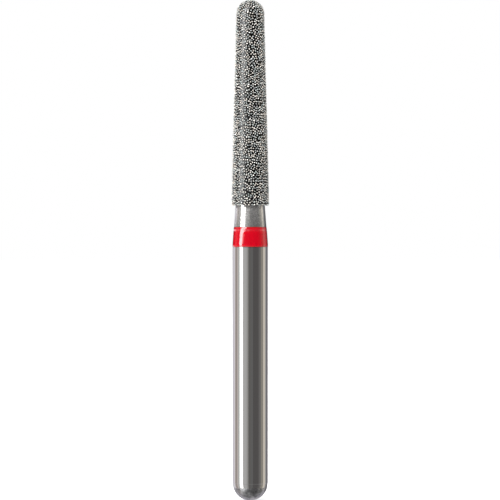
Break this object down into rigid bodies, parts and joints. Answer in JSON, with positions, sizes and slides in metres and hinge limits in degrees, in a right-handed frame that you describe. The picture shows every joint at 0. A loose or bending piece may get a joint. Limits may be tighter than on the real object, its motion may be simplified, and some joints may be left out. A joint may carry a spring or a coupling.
{
  "type": "dental bur",
  "caption": "Diamond-coated dental bur: round-end tapered grinding head, red grit-grade ring and plain friction-grip shank.",
  "frame": {"origin": "tip of the shank's rounded end, on the bur's axis", "axes": "+Z along the bur's axis, from the shank's end to the tip of the head; X and Y are any two directions across it, because the bur is a body of revolution"},
  "size_m": [0.0016, 0.0016, 0.0227],
  "materials": {
    "steel": "polished shank, satin neck, dull rounded end",
    "diamond_grit": "rough diamond grit held in nickel",
    "red_lacquer": "glossy lacquer"
  },
  "bodies": {
    "root": {"steel_blank": "steel", "diamond_coating": "diamond_grit", "colour_ring": "red_lacquer"}
  },
  "joints": []
}
